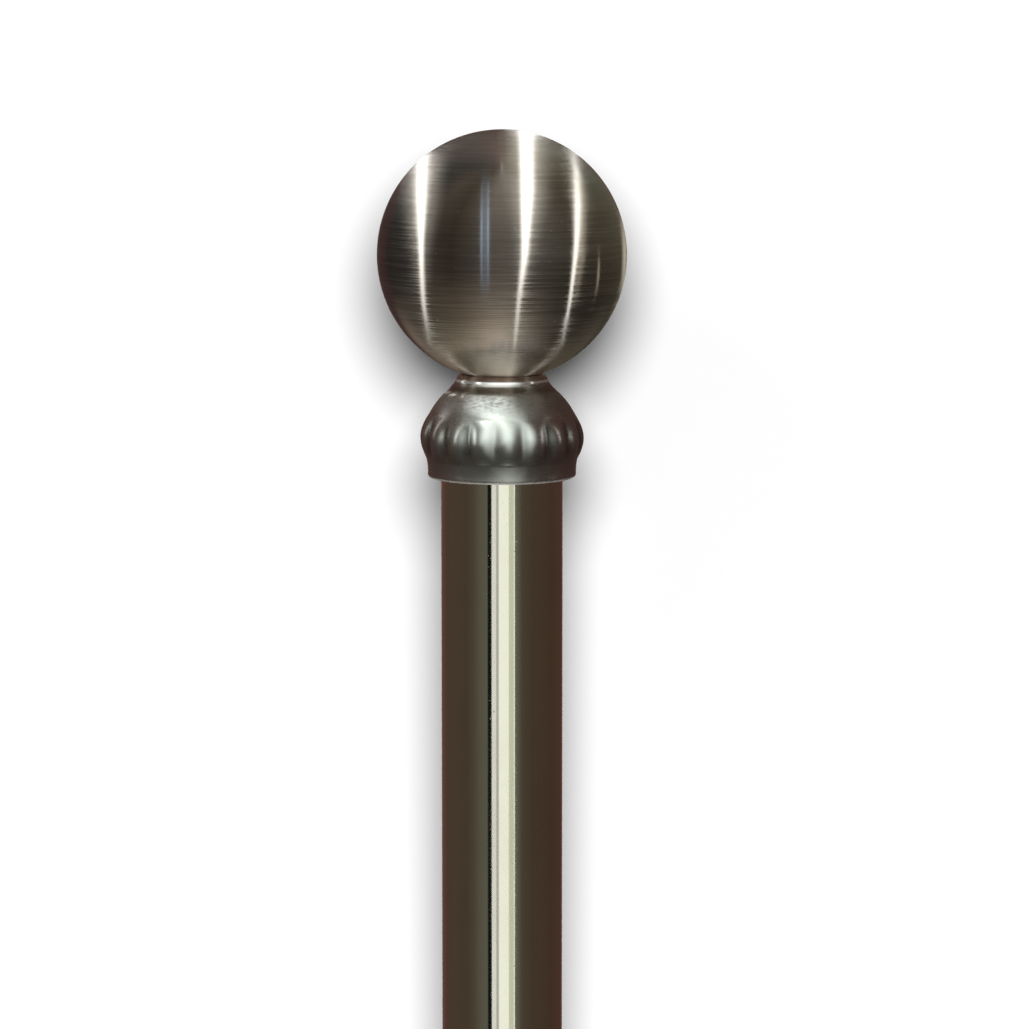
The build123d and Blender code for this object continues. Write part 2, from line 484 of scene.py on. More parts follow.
@dataclass(frozen=True)
class SatinBallFinish:
    """Stainless steel brushed in rings round the ball's upright axis, with painted light on its lowest band."""

    radius: float
    centre: float
    bright: tuple = (0.66, 0.635, 0.585, 1.0)
    deep: tuple = (0.56, 0.535, 0.485, 1.0)
    # painted light: the bright warm tone painted on the ball's lowest band
    painted_bottom_light: tuple = (0.98, 0.9, 0.79, 1.0)
    lines_per_metre: float = 1900.0
    line_depth: float = 0.00002

    def build(self) -> bpy.types.Material:
        """Makes the material: grain in its colour, roughness and relief; highlights stand upright."""
        material, tree, shader = metal("ball_satin")
        place = tree.place((0.0, 0.0, -self.centre))
        grain = tree.use(
            SharedEffects.ring_grain(),
            Vector=place,
            Radius=self.radius,
            Ball=1.0,
            Lines=self.lines_per_metre,
            Stretch=1.8,
            Detail=0.3,
        )
        marks = tree.use(SharedEffects.handling(), Vector=place, Smudge_Size=22.0, Speck_Size=520.0)
        fine, broad = grain.outputs["Fine"], grain.outputs["Broad"]
        lines = tree.plus(tree.times(fine, 0.7), tree.times(broad, 0.3))
        tone = tree.rise(lines, 0.3, 0.66)
        colour = tree.tint(tone, self.deep, self.bright)
        colour = tree.tint(marks.outputs["Specks"], colour, (0.86, 0.85, 0.82, 1.0))
        _, _, height = tree.split(place)
        # Painted light: the ball's lowest band is tinted a bright warm tone that stands in for the light on its bottom
        # edge.
        colour = tree.tint(tree.spread(height, -0.036, -0.045, 0.0, 0.85), colour, self.painted_bottom_light)
        gaps = tree.times(
            tree.rise(fine, 0.53, 0.43),
            tree.spread(height, 0.006, -0.022, 0.0, 0.17),
            tree.spread(height, -0.034, -0.043, 1.0, 0.3),
        )
        colour = tree.tint(gaps, colour, (0.16, 0.14, 0.12, 1.0))
        tree.feed(shader.inputs["Base Color"], colour)
        combed = tree.spread(height, 0.018, -0.014, 0.155, 0.225)
        rough = tree.spread(fine, 0.46, 0.6, 0.13, combed)
        rough = tree.plus(rough, tree.spread(height, -0.034, -0.045, 0.0, 0.25))
        rough = tree.plus(rough, tree.times(marks.outputs["Smudges"], 0.03))
        tree.feed(shader.inputs["Roughness"], rough)
        shader.inputs["Anisotropic"].default_value = 1.0
        shader.inputs["Anisotropic Rotation"].default_value = 0.25
        tangent = tree.add("ShaderNodeTangent", direction_type="RADIAL", axis="Z")
        tree.feed(shader.inputs["Tangent"], tangent.outputs[0])
        raise_surface(tree, shader, fine, 0.25, self.line_depth)
        return material


@dataclass(frozen=True)
class PressedCollarFinish:
    """Pressed and polished sheet: a soft sheen, slight waves of the press and a rubbed ridge, with painted highlights
    on the neck and the front of the shoulder, and painted shade in the neck's groove, the gadroon valleys and the right
    of the shoulder.
    """

    rim_level: float
    ridge: float
    rim: float
    bead: float
    gadroons: int
    turn: float
    tone: tuple = (0.66, 0.65, 0.62, 1.0)
    painted_shine_tone: tuple = (0.94, 0.94, 0.9, 1.0)
    heated: tuple = (0.74, 0.58, 0.52, 1.0)
    worn: tuple = (0.9, 0.84, 0.7, 1.0)
    scuffed: tuple = (0.3, 0.3, 0.28, 1.0)
    painted_highlight_tone: tuple = (0.8, 0.86, 0.8, 1.0)
    painted_shade_tone: tuple = (0.3, 0.26, 0.22, 1.0)
    painted_valley_shade_tone: tuple = (0.27, 0.28, 0.26, 1.0)
    smudged: tuple = (0.5, 0.48, 0.45, 1.0)

    def build(self) -> bpy.types.Material:
        """Makes the material."""
        material, tree, shader = metal("collar_pressed")
        place = tree.place((0.0, 0.0, -self.rim_level))
        grain = tree.use(SharedEffects.ring_grain(), Vector=place, Lines=1500.0, Stretch=3.0)
        marks = tree.use(SharedEffects.handling(), Vector=place, Smudge_Size=60.0, Speck_Size=900.0)
        band = SharedEffects.rubbed_band()
        ridge = tree.use(band, Vector=place, Level=self.ridge + 0.0003, Width=0.0011, Patches=320.0)
        rim = tree.use(band, Vector=place, Level=self.rim, Width=0.0009, Patches=200.0)
        x, y, height = tree.split(place)
        front = tree.fall(y, -0.004, 0.0)
        sided = tree.times(ridge.outputs["Rub"], tree.spread(x, -0.007, -0.001, 1.0, 0.1))
        rub = tree.larger(sided, tree.times(rim.outputs["Rub"], 0.4))
        waves = tree.noise(place, 130.0, 1.0, 0.4)
        scuff_noise = tree.noise(tree.stretched(place, (1.0, 1.0, 3.6)), 420.0, 4.0, 0.7)
        scuffs = tree.times(
            tree.rise(scuff_noise, 0.5, 0.62), tree.rise(height, self.ridge - 0.009, self.ridge - 0.003)
        )
        # Painted highlight: a thin bright line round the neck at the bead, in the painted shine tone, smoother and a
        # little less metallic.
        bead = tree.fall(tree.apart(height, self.bead), 0.0003, 0.0007)
        # Painted highlight: a pale, less metallic patch on the front of the shoulder, left of the middle.
        painted_shoulder_highlight = tree.times(
            tree.rise(x, -0.016, -0.009),
            tree.fall(x, -0.001, 0.0065),
            tree.rise(height, self.ridge - 0.0068, self.ridge - 0.0035),
            tree.fall(height, self.ridge + 0.0004, self.ridge + 0.0012),
            front,
            tree.spread(scuff_noise, 0.42, 0.58, 1.0, 0.35),
        )
        # Painted highlight: a bright, less metallic band on the front of the neck just under the bead.
        painted_neck_highlight = tree.times(
            tree.rise(x, -0.013, -0.005),
            tree.fall(x, 0.003, 0.011),
            tree.fall(tree.apart(height, self.bead - 0.0004), 0.0006, 0.0012),
            front,
        )
        # Painted shade: the cove between the shoulder and the neck is darkened with the painted shade tone.
        painted_groove_shade = tree.spread(tree.apart(height, self.ridge + 0.0021), 0.0008, 0.002, 0.7, 0.0)
        swing = tree.times(tree.math("SUBTRACT", tree.math("ARCTAN2", y, x), self.turn), self.gadroons / 2)
        # Painted shade: the gadroon valleys on the belly are darkened, more towards the sides.
        valley = tree.times(
            tree.fall(tree.math("ABSOLUTE", tree.math("COSINE", swing)), 0.35, 0.75),
            tree.spread(tree.math("ABSOLUTE", x), 0.006, 0.012, 0.15, 0.8),
            tree.fall(height, self.ridge - 0.012, self.ridge - 0.009),
            tree.rise(height, self.ridge - 0.026, self.ridge - 0.022),
        )
        # Painted shade: the front of the shoulder right of the middle is darkened with the painted shade tone.
        painted_side_shade = tree.times(
            tree.spread(x, 0.003, 0.012, 0.0, 0.6),
            front,
            tree.rise(height, self.ridge - 0.007, self.ridge - 0.003),
            tree.fall(height, self.ridge + 0.0012, self.ridge + 0.0019),
        )
        warmed = tree.spread(height, self.bead + 0.0005, self.bead + 0.001, 0.0, 0.8)
        smudges = marks.outputs["Smudges"]
        colour = tree.tint(rub, self.tone, self.worn)
        for share, tone in (
            (tree.times(scuffs, 0.55), self.scuffed),
            (bead, self.painted_shine_tone),
            (painted_shoulder_highlight, self.painted_highlight_tone),
            (painted_neck_highlight, self.painted_shine_tone),
            (painted_groove_shade, self.painted_shade_tone),
            (valley, self.painted_valley_shade_tone),
            (painted_side_shade, self.painted_shade_tone),
            (warmed, self.heated),
            (tree.times(smudges, 0.35), self.smudged),
        ):
            colour = tree.tint(share, colour, tone)
        tree.feed(shader.inputs["Base Color"], colour)
        matt = tree.times(
            tree.rise(height, self.ridge - 0.0075, self.ridge - 0.002),
            tree.fall(height, self.ridge + 0.0012, self.ridge + 0.0019),
        )
        rough = tree.spread(grain.outputs["Fine"], 0.35, 0.65, 0.25, 0.27)
        for share, step in ((matt, 0.21), (smudges, 0.06), (rub, 0.1), (bead, -0.1)):
            rough = tree.plus(rough, tree.times(share, step))
        tree.feed(shader.inputs["Roughness"], rough)
        # Less metal along the rim's foot and on the rubbed ridge, which is wear, and under the painted highlights on
        # the shoulder, neck and bead.
        bared_and_painted_sheen = tree.spread(height, 0.0002, 0.0011, 0.4, 0.0)
        for share, most in ((sided, 0.6), (painted_shoulder_highlight, 0.85), (painted_neck_highlight, 0.6), (bead, 0.12)):
            bared_and_painted_sheen = tree.larger(bared_and_painted_sheen, tree.times(share, most))
        tree.feed(shader.inputs["Metallic"], tree.math("SUBTRACT", 1.0, bared_and_painted_sheen))
        relief = tree.plus(waves, tree.times(grain.outputs["Fine"], 0.04))
        raise_surface(tree, shader, relief, 0.7, 0.00026)
        return material


@dataclass(frozen=True)
class MirrorTubeFinish:
    """Mirror polished tube, with the faint rings and smudges that polishing and hands leave, and a painted reddish
    reflection at its grazing edges.
    """

    tone: tuple = (0.64, 0.625, 0.59, 1.0)
    dull: tuple = (0.56, 0.54, 0.5, 1.0)
    # painted reflection: the reddish specular tint of the tube's grazing edges
    edge: tuple = (1.0, 0.62, 0.58, 1.0)

    def build(self) -> bpy.types.Material:
        """Makes the material."""
        material, tree, shader = metal("tube_mirror")
        place = tree.place()
        grain = tree.use(SharedEffects.ring_grain(), Vector=place, Lines=700.0, Stretch=5.0)
        marks = tree.use(SharedEffects.handling(), Vector=place, Smudge_Size=30.0, Speck_Size=800.0)
        smudge = marks.outputs["Smudges"]
        tree.feed(shader.inputs["Base Color"], tree.tint(tree.times(smudge, 0.4), self.tone, self.dull))
        # Painted reflection: a reddish specular tint reddens the tube's grazing edges.
        shader.inputs["Specular Tint"].default_value = self.edge
        rough = tree.spread(grain.outputs["Fine"], 0.35, 0.65, 0.05, 0.075)
        rough = tree.plus(rough, tree.times(smudge, 0.035))
        rough = tree.plus(rough, tree.times(marks.outputs["Specks"], 0.25))
        tree.feed(shader.inputs["Roughness"], rough)
        raise_surface(tree, shader, grain.outputs["Broad"], 0.15, 0.00002)
        return material


@dataclass(frozen=True)
class PlateFinish:
    """Plate with a straight satin grain along X or up the piece, and duller patches."""

    name: str
    grain_scale: tuple
    tone: tuple = (0.6, 0.59, 0.57, 1.0)
    dull: tuple = (0.5, 0.49, 0.47, 1.0)

    def build(self) -> bpy.types.Material:
        """Makes the material."""
        material, tree, shader = metal(self.name)
        place = tree.place()
        lines = tree.noise(tree.stretched(place, self.grain_scale), 1.0, 3.0, 0.6)
        marks = tree.use(SharedEffects.handling(), Vector=place, Smudge_Size=26.0, Speck_Size=600.0)
        share = tree.times(marks.outputs["Smudges"], 0.6)
        colour = tree.tint(share, self.tone, self.dull)
        colour = tree.tint(tree.spread(lines, 0.35, 0.65, 0.0, 0.35), colour, (0.72, 0.71, 0.69, 1.0))
        tree.feed(shader.inputs["Base Color"], colour)
        rough = tree.spread(lines, 0.35, 0.65, 0.3, 0.42)
        tree.feed(shader.inputs["Roughness"], tree.plus(rough, tree.times(share, 0.12)))
        raise_surface(tree, shader, lines, 0.35, 0.00005)
        return material


@dataclass(frozen=True)
class WeldFinish:
    """Weld bead brushed clean, with straw and blue heat colours left in its ripples."""

    tone: tuple = (0.56, 0.54, 0.51, 1.0)
    straw: tuple = (0.62, 0.5, 0.33, 1.0)
    blue: tuple = (0.34, 0.37, 0.46, 1.0)

    def build(self) -> bpy.types.Material:
        """Makes the material."""
        material, tree, shader = metal("weld_bead")
        place = tree.place()
        patches = tree.noise(place, 90.0, 3.0, 0.6)
        grit = tree.noise(place, 2200.0, 2.0, 0.6)
        colour = tree.tint(tree.spread(patches, 0.48, 0.62, 0.0, 0.6), self.tone, self.straw)
        colour = tree.tint(tree.spread(patches, 0.6, 0.7, 0.0, 0.5), colour, self.blue)
        tree.feed(shader.inputs["Base Color"], colour)
        tree.feed(shader.inputs["Roughness"], tree.spread(grit, 0.3, 0.7, 0.32, 0.5))
        raise_surface(tree, shader, grit, 0.4, 0.00006)
        return material


@dataclass(frozen=True)
class TurnedFinish:
    """Turned bar: close rings from the lathe's tool."""

    tone: tuple = (0.6, 0.6, 0.59, 1.0)
    dark: tuple = (0.48, 0.48, 0.47, 1.0)

    def build(self) -> bpy.types.Material:
        """Makes the material."""
        material, tree, shader = metal("turned_steel")
        place = tree.place()
        grain = tree.use(SharedEffects.ring_grain(), Vector=place, Lines=2400.0, Stretch=1.0)
        fine = grain.outputs["Fine"]
        tree.feed(shader.inputs["Base Color"], tree.tint(tree.rise(fine, 0.35, 0.65), self.dark, self.tone))
        tree.feed(shader.inputs["Roughness"], tree.spread(fine, 0.35, 0.65, 0.3, 0.42))
        raise_surface(tree, shader, fine, 0.4, 0.00004)
        return material


# Pieces

receivers = {lit: bpy.data.collections.new(f"lit {lit.value}") for lit in Lit}


def dress(
    piece: bpy.types.Object, material: bpy.types.Material, slot: Slot, *stands_for: str, lit: Lit = Lit.POLE
) -> None:
    """Gives a new piece its material and its body, and hides the nodes it stands for.

    Args:
        piece: the new object.
        material: its finish.
        slot: the record's material slot; not used.
        stands_for: CAD nodes that it replaces.
        lit: the cards that light it.
    """
    piece.data.materials.append(material)
    receivers[lit].objects.link(piece)
    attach(piece, "root")
    if stands_for:
        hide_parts(*stands_for)
    log.info("%s: %d points", piece.name, len(piece.data.vertices))


def coat(node: str, material: bpy.types.Material) -> None:
    """Puts a finish on a CAD node that is kept as it is.

    Args:
        node: the node's name.
        material: its finish.
    """
    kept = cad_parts[node]
    kept.data.materials.clear()
    kept.data.materials.append(material)
    receivers[Lit.FOOT].objects.link(kept)
    log.info("%s: kept, with %s", node, material.name)


@dataclass
class Ball:
    """The finial ball."""

    radius: float = 51 * MM
    rows: int = 159
    round: int = 320
    centre: float = field(init=False)

    def __post_init__(self) -> None:
        """Reads the ball's height off the frame."""
        self.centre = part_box("ball_upper_half")[1].z - self.radius

    def points(self) -> np.ndarray:
        """Points R (cos lat cos lon, cos lat sin lon, sin lat) on even steps of both angles."""
        latitude = np.linspace(-np.pi / 2, np.pi / 2, self.rows + 2)[1:-1]
        profile = np.stack([self.radius * np.cos(latitude), self.centre + self.radius * np.sin(latitude)], axis=-1)
        return turned(profile, self.round)

    def build(self) -> bpy.types.Object:
        """Makes and dresses the ball."""
        piece = skin("ball", self.points(), Seam.POLES)
        piece.data.vertices[-1].co.z = self.centre + self.radius
        piece.data.vertices[-2].co.z = self.centre - self.radius
        finish = SatinBallFinish(self.radius, self.centre).build()
        dress(piece, finish, Slot.BALL, "ball_upper_half", "ball_lower_half", lit=Lit.BALL)
        return piece


@dataclass
class Collar:
    """The gadrooned collar: one pressed sheet, turned in at the rim, dished at the top for the ball."""

    tube_radius: float = 25 * MM
    tube_gap: float = 0.15 * MM
    sheet: float = 1.5 * MM
    height: float = 42.4 * MM
    rim_radius: float = 30.4 * MM
    rim_rounding: float = 1.2 * MM
    skirt_height: float = 7.7 * MM
    skirt_flare: float = 0.2 * MM
    belly_radius: float = 32.6 * MM
    belly_height: float = 15.6 * MM
    belly_curve: float = 19.5 * MM
    gadroons: int = 18
    gadroon_rise: float = 1.05 * MM
    valley_softness: float = 0.35
    gadroon_top: float = 26.0 * MM
    gadroon_turn: float = math.radians(15.0)
    shoulder_sagitta: float = 0.45 * MM
    ridge: tuple = (23.3 * MM, 34.6 * MM)
    ledge_sag: float = 0.1 * MM
    neck_corner: tuple = (21.4 * MM, 36.45 * MM)
    neck_flare: float = 0.12 * MM
    neck_waist: tuple = (18.95 * MM, 39.55 * MM)
    neck_step: tuple = (18.7 * MM, 40.35 * MM)
    neck_sagitta: float = 0.15 * MM
    neck_top_radius: float = 17.0 * MM
    seat_radius: float = 15.6 * MM
    seat_sphere: float = 51.05 * MM
    seat_edge: float = 0.4 * MM
    stud_hole: float = 6.5 * MM
    segments: int = 24
    rim_level: float = field(init=False)

    def __post_init__(self) -> None:
        """Reads the collar's height off the frame."""
        self.rim_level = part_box("collar_cap")[0].z

    def valley(self, height: np.ndarray) -> np.ndarray:
        """The belly's radius between two gadroons: a parabola about its widest level."""
        return self.belly_radius - (height - self.belly_height) ** 2 / (2 * self.belly_curve)

    def outer_profile(self) -> np.ndarray:
        """The outside from the lip's foot up to the neck's top edge, as radius and height."""
        corner = self.rim_rounding
        low = (self.rim_radius - corner, 0.0)
        side = (self.rim_radius, corner)
        skirt_top = (float(self.valley(np.array(self.skirt_height))), self.skirt_height)
        shoulder_low = (float(self.valley(np.array(self.gadroon_top))), self.gadroon_top)
        climb = np.linspace(self.skirt_height, self.gadroon_top, 60, endpoint=False)
        belly = np.stack([self.valley(climb), climb], axis=-1)
        return np.vstack(
            [
                arc((self.tube_radius + self.tube_gap, 0.0), low, 0.0, 4),
                arc(low, side, corner * (1 - math.sqrt(0.5)), 7),
                arc(side, skirt_top, -self.skirt_flare, 10),
                belly,
                arc(shoulder_low, self.ridge, self.shoulder_sagitta, 20),
                arc(self.ridge, self.neck_corner, -self.ledge_sag, 8),
                arc(self.neck_corner, self.neck_waist, -self.neck_flare, 9),
                arc(self.neck_waist, self.neck_step, 0.0, 6),
                arc(self.neck_step, (self.neck_top_radius, self.height), self.neck_sagitta, 12),
            ]
        )

    def inner_profile(self) -> np.ndarray:
        """From the neck's top edge over the dished seat, and down the inside back to the lip."""
        seat = self.ball_seat(0.0)
        hole_low = self.ball_seat(self.sheet)
        top = float(hole_low[-1, 1])
        inside_low = (float(self.valley(np.array(self.skirt_height))) - self.sheet, self.skirt_height)
        climb = np.linspace(self.gadroon_top, self.skirt_height, 30, endpoint=False)
        belly = np.stack([self.valley(climb) - self.sheet, climb], axis=-1)
        shoulder = (self.ridge[0] - self.sheet, self.ridge[1] - self.sheet / 2)
        neck = (self.neck_step[0] - self.sheet, self.neck_step[1] - self.sheet / 2)
        edge = (float(hole_low[0, 0]), float(hole_low[0, 1]))
        return np.vstack(
            [
                arc((self.neck_top_radius, self.height), (self.seat_radius, self.height), 0.0, 3),
                seat,
                arc((self.stud_hole, float(seat[-1, 1])), (self.stud_hole, top), 0.0, 2),
                hole_low[::-1],
                arc(edge, neck, 0.0, 4),
                arc(neck, shoulder, 0.0, 3),
                arc(shoulder, tuple(belly[0]), -self.shoulder_sagitta, 10),
                belly,
                arc(inside_low, (self.rim_radius - self.sheet, self.sheet), 0.0, 5),
                arc((self.rim_radius - self.sheet, self.sheet), (self.tube_radius + self.tube_gap, self.sheet), 0.0, 4),
                arc((self.tube_radius + self.tube_gap, self.sheet), (self.tube_radius + self.tube_gap, 0.0), 0.0, 2),
            ]
        )

    def ball_seat(self, below: float) -> np.ndarray:
        """The dish that the ball sits in, or its underside: an arc of a sphere about the ball's centre."""
        sphere = self.seat_sphere + below
        centre = self.height + math.sqrt(self.seat_sphere**2 - self.seat_radius**2)
        start = self.seat_radius if below == 0.0 else self.seat_radius + self.seat_edge
        radius = np.linspace(start, self.stud_hole, 10)
        return np.stack([radius, centre - np.sqrt(sphere**2 - radius**2)], axis=-1)

    def points(self) -> np.ndarray:
        """The whole skin: the profile carried round, with the gadroons added on to its radius.

        A gadroon's lift is rise x sin(pi s) x arch(a), where s is the share of the way up the belly
        and arch is the size of the cosine of half the turn times the number of gadroons, with its
        valleys rounded off: the root of its square plus the softness's square, brought to 0..1.
        """
        profile = np.vstack([self.outer_profile(), self.inner_profile()])
        count = self.gadroons * self.segments
        grid = turned(profile, count)
        angle = 2 * np.pi * np.arange(count) / count
        soft = self.valley_softness
        swing = np.cos((angle - self.gadroon_turn) * self.gadroons / 2)
        arch = (np.sqrt(swing**2 + soft**2) - soft) / (math.sqrt(1 + soft**2) - soft)
        climb = (profile[:, 1] - self.skirt_height) / (self.gadroon_top - self.skirt_height)
        share = np.clip(climb, 0.0, 1.0)
        lift = self.gadroon_rise * np.sin(np.pi * share)[:, None] * arch[None, :]
        grid[..., 0] += lift * np.cos(angle)
        grid[..., 1] += lift * np.sin(angle)
        grid[..., 2] += self.rim_level
        return grid

    def build(self) -> bpy.types.Object:
        """Makes and dresses the collar."""
        piece = skin("collar", self.points(), Seam.LOOP, 48.0)
        bead = (self.neck_waist[1] + self.neck_step[1]) / 2
        finish = PressedCollarFinish(self.rim_level, self.ridge[1], 0.5 * MM, bead, self.gadroons, self.gadroon_turn)
        dress(piece, finish.build(), Slot.COLLAR, "collar_cap", lit=Lit.COLLAR)
        return piece


@dataclass
class Tube:
    """The pole's tube."""

    radius: float = 25 * MM
    wall: float = 2 * MM
    edge: float = 0.25 * MM
    round: int = 256

    def points(self) -> np.ndarray:
        """A rounded rectangle's outline, wall by length, carried round the axis."""
        low, high = (corner.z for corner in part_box("pole_tube"))
        outer, inner, e = self.radius, self.radius - self.wall, self.edge
        bend = e * (1 - math.sqrt(0.5))
        profile = np.vstack(
            [
                arc((outer, low + e), (outer, high - e), 0.0, 90),
                arc((outer, high - e), (outer - e, high), bend, 4),
                arc((outer - e, high), (inner, high), 0.0, 2),
                arc((inner, high), (inner, low), 0.0, 12),
                arc((inner, low), (outer - e, low), 0.0, 2),
                arc((outer - e, low), (outer, low + e), bend, 4),
            ]
        )
        return turned(profile, self.round)

    def build(self) -> bpy.types.Object:
        """Makes and dresses the tube."""
        piece = skin("tube", self.points(), Seam.LOOP)
        dress(piece, MirrorTubeFinish().build(), Slot.TUBE, "pole_tube")
        return piece


@dataclass
class Foot:
    """The base plate, its gussets and their weld beads."""

    tube_radius: float = 25.05 * MM
    plate_top: float = 10 * MM
    gussets: int = 4
    gusset_length: float = 60 * MM
    gusset_height: float = 90 * MM
    gusset_thickness: float = 6 * MM
    nose: float = 12 * MM
    cope: float = 8 * MM
    weld_leg: float = 5 * MM
    bead_leg: float = 3.2 * MM
    ripple_pitch: float = 1.7 * MM
    ripple: float = 0.16 * MM

    def ring_bead(self) -> np.ndarray:
        """The fillet round the tube: a quarter disc's outline carried round, its face rippled.

        The ripple is a sine in the turn, skewed by the way across the bead, so that the ridges
        curve as a weld pool's do.
        """
        count = 720
        leg = self.weld_leg - self.ripple
        inner = self.tube_radius - 0.05 * MM
        across = np.linspace(0.0, 1.0, 9)
        face = np.stack([leg * (1 - across), leg * across], axis=-1)
        swell = np.sin(np.pi * across)
        profile = np.vstack([face + 0.35 * MM * swell[:, None] * np.sqrt(0.5), [[0.0, 0.0]]])
        profile = profile + np.array([inner, self.plate_top])
        grid = turned(profile, count)
        angle = 2 * np.pi * np.arange(count) / count
        waves = round(2 * np.pi * self.tube_radius / self.ripple_pitch)
        weight = np.append(swell, 0.0)[:, None]
        lean = np.append((across - 0.5) ** 2 * 3.0, 0.0)[:, None]
        lift = self.ripple * weight * np.sin(waves * angle[None, :] + lean * 2)
        grid[..., 0] += lift * np.cos(angle) * math.sqrt(0.5)
        grid[..., 1] += lift * np.sin(angle) * math.sqrt(0.5)
        grid[..., 2] += lift * math.sqrt(0.5)
        return grid

    def straight_bead(self, start: np.ndarray, end: np.ndarray, out: np.ndarray, up: np.ndarray) -> np.ndarray:
        """A fillet from start to end in the corner between the directions out and up.

        The section is a corner and a swollen face between the two legs, which shrink to a point
        at both ends of the run by the root of a parabola; ripples run along the face.
        """
        length = float(np.linalg.norm(end - start))
        steps = max(24, int(length / self.ripple_pitch * 6))
        run = np.linspace(0.0, 1.0, steps)
        size = self.bead_leg * np.sqrt(np.clip(1 - np.abs(2 * run - 1) ** (length / self.bead_leg), 0.0004, 1))
        size = size * (1 + 0.05 * np.sin(2 * np.pi * run * length / self.ripple_pitch))
        across = np.linspace(0.0, 1.0, 6)
        swell = 0.12 * np.sin(np.pi * across)
        legs = np.vstack([np.stack([1 - across + swell, across + swell], axis=-1), [[0.0, 0.0]]])
        path = start + run[:, None] * (end - start)
        reach = size[:, None, None] * (legs[None, :, 0, None] * out + legs[None, :, 1, None] * up)
        return path[:, None, :] + reach

    def gusset_beads(self, number: int) -> bpy.types.Object:
        """The four beads of one gusset: two on the plate and two on the tube."""
        turn = 2 * math.pi * number / self.gussets
        away = np.array([math.cos(turn), math.sin(turn), 0.0])
        aside = np.array([-math.sin(turn), math.cos(turn), 0.0])
        up = np.array([0.0, 0.0, 1.0])
        half = self.gusset_thickness / 2
        foot_in = (self.tube_radius + self.cope + 1 * MM) * away + self.plate_top * up
        foot_out = (self.tube_radius + self.gusset_length - 1 * MM) * away + self.plate_top * up
        wall = math.sqrt(self.tube_radius**2 - half**2)
        side_low = wall * away + (self.plate_top + self.cope + 1 * MM) * up
        side_high = wall * away + (self.plate_top + self.gusset_height - 1 * MM) * up
        beads = []
        for sign in (1.0, -1.0):
            out = sign * aside
            runs = ((foot_in, foot_out, out, up), (side_low, side_high, out * 0.9 - away * 0.2, away))
            for start, end, first, second in runs:
                grid = self.straight_bead(start + sign * half * aside, end + sign * half * aside, first, second)
                if np.dot(np.cross(first, second), end - start) > 0:
                    grid = grid[::-1]
                beads.append(grid)
        return self.join_beads(f"gusset_beads_{number + 1}", beads)

    def join_beads(self, name: str, grids: list) -> bpy.types.Object:
        """Puts several tubes of points, each closed at both ends by its last section, in one mesh."""
        points, faces, base = [], [], 0
        for grid in grids:
            rows, across, _ = grid.shape
            index = base + np.arange(rows * across).reshape(rows, across)
            beyond = np.roll(index, -1, axis=1)
            quads = np.stack([index[:-1], index[1:], beyond[1:], beyond[:-1]], axis=-1).reshape(-1, 4)
            faces += quads.tolist() + [index[0].tolist(), index[-1][::-1].tolist()]
            points.append(grid.reshape(-1, 3))
            base += rows * across
        return mesh_object(name, np.vstack(points), faces, 60.0)

    def build(self) -> None:
        """Coats the plate and gussets, and makes the beads."""
        weld = WeldFinish().build()
        coat("base_plate", PlateFinish("plate_satin", (14.0, 1300.0, 1300.0)).build())
        upright = PlateFinish("gusset_satin", (900.0, 900.0, 14.0)).build()
        for number in range(self.gussets):
            coat(f"base_gusset_{number + 1}", upright)
            dress(self.gusset_beads(number), weld, Slot.WELD, lit=Lit.FOOT)
        dress(skin("foot_bead", self.ring_bead(), Seam.LOOP, 60.0), weld, Slot.WELD, "foot_weld", lit=Lit.FOOT)


@dataclass
class HiddenFixings:
    """The boss, stud, nut, washer and plug inside the pole's top."""

    nodes: tuple = ("ball_boss", "finial_stud", "stud_washer", "stud_lock_nut", "tube_plug")

    def build(self) -> None:
        """Coats them all as turned steel."""
        finish = TurnedFinish().build()
        for node in self.nodes:
            coat(node, finish)


# Studio


@dataclass
class PhotoCamera:
    """A long lens a little above the ball, as the photograph is taken."""

    image: float = 1029.0
    frame_width: float = 0.4234
    focal: float = 140.0
    sensor: float = 36.0
    pitch: float = math.radians(7.5)
    ball_row: float = 254.8
    pole_column: float = 502.0

    def place(self, ball_height: float) -> bpy.types.Object:
        """Sets the camera so that the ball's centre and the pole's axis fall on their pixels.

        With d the distance at which the frame is frame_width wide, a point h above the aim shows
        h cos(pitch) d / (d - h sin(pitch)) above the middle, which is solved for h.
        """
        distance = self.frame_width / 2 / math.tan(math.atan(self.sensor / 2 / self.focal))
        scale = self.frame_width / self.image
        rise = (self.image / 2 - self.ball_row) * scale
        above = rise * distance / (distance * math.cos(self.pitch) + rise * math.sin(self.pitch))
        aside = (self.image / 2 - self.pole_column) * scale
        aim = Vector((aside, 0.0, ball_height - above))
        back = Vector((0.0, -math.cos(self.pitch), math.sin(self.pitch)))
        data = bpy.data.cameras.new("camera")
        data.lens, data.sensor_width = self.focal, self.sensor
        data.clip_start, data.clip_end = 0.05, 100.0
        camera = bpy.data.objects.new("camera", data)
        camera.location = aim + back * distance
        camera.rotation_mode = "QUATERNION"
        camera.rotation_quaternion = (-back).to_track_quat("-Z", "Y")
        bpy.context.scene.collection.objects.link(camera)
        bpy.context.scene.camera = camera
        return camera


